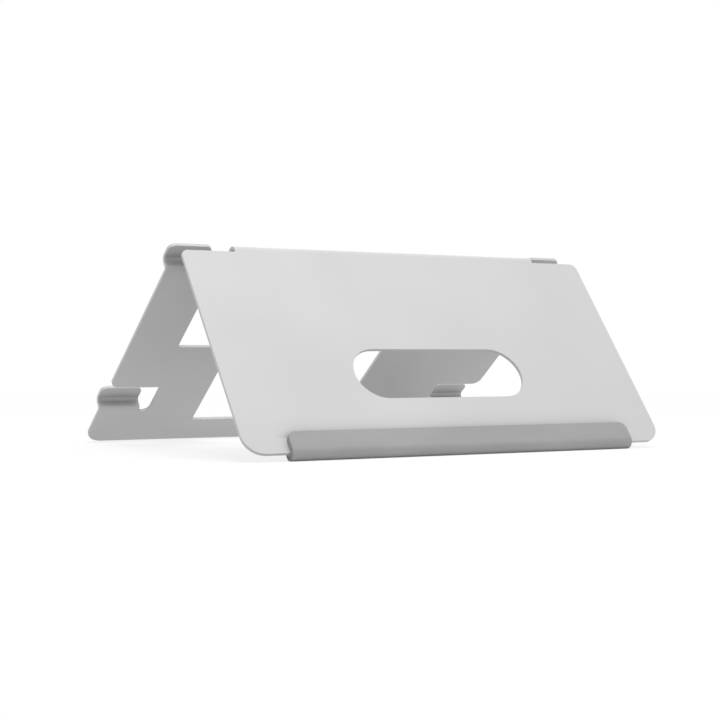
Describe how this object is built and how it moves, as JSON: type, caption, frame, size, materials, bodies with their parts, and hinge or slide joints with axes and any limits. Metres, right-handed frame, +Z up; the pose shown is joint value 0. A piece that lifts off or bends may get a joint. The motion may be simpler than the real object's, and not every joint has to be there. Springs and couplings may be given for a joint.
{
  "type": "laptop stand",
  "caption": "Laptop stand folded from one aluminium sheet into a tent, with bent hooks, an oblong window, a stepped opening and a rubber foot trim.",
  "frame": {"origin": "middle of the footprint, on the surface that the stand rests on", "axes": "+X along the fold, +Y from the front panel's foot towards the rest panel's foot, +Z up"},
  "size_m": [0.28, 0.2482, 0.1208],
  "materials": {
    "sheet_aluminium": "fine blasted and clear anodised, satin silver",
    "trim_rubber": "matt mid grey",
    "pad_silicone": "matt grey silicone"
  },
  "bodies": {
    "root": {"folded_sheet": "sheet_aluminium", "foot_trim": "trim_rubber", "rest_pad_low_left": "pad_silicone", "rest_pad_low_right": "pad_silicone", "rest_pad_high_left": "pad_silicone", "rest_pad_high_right": "pad_silicone"}
  },
  "joints": []
}
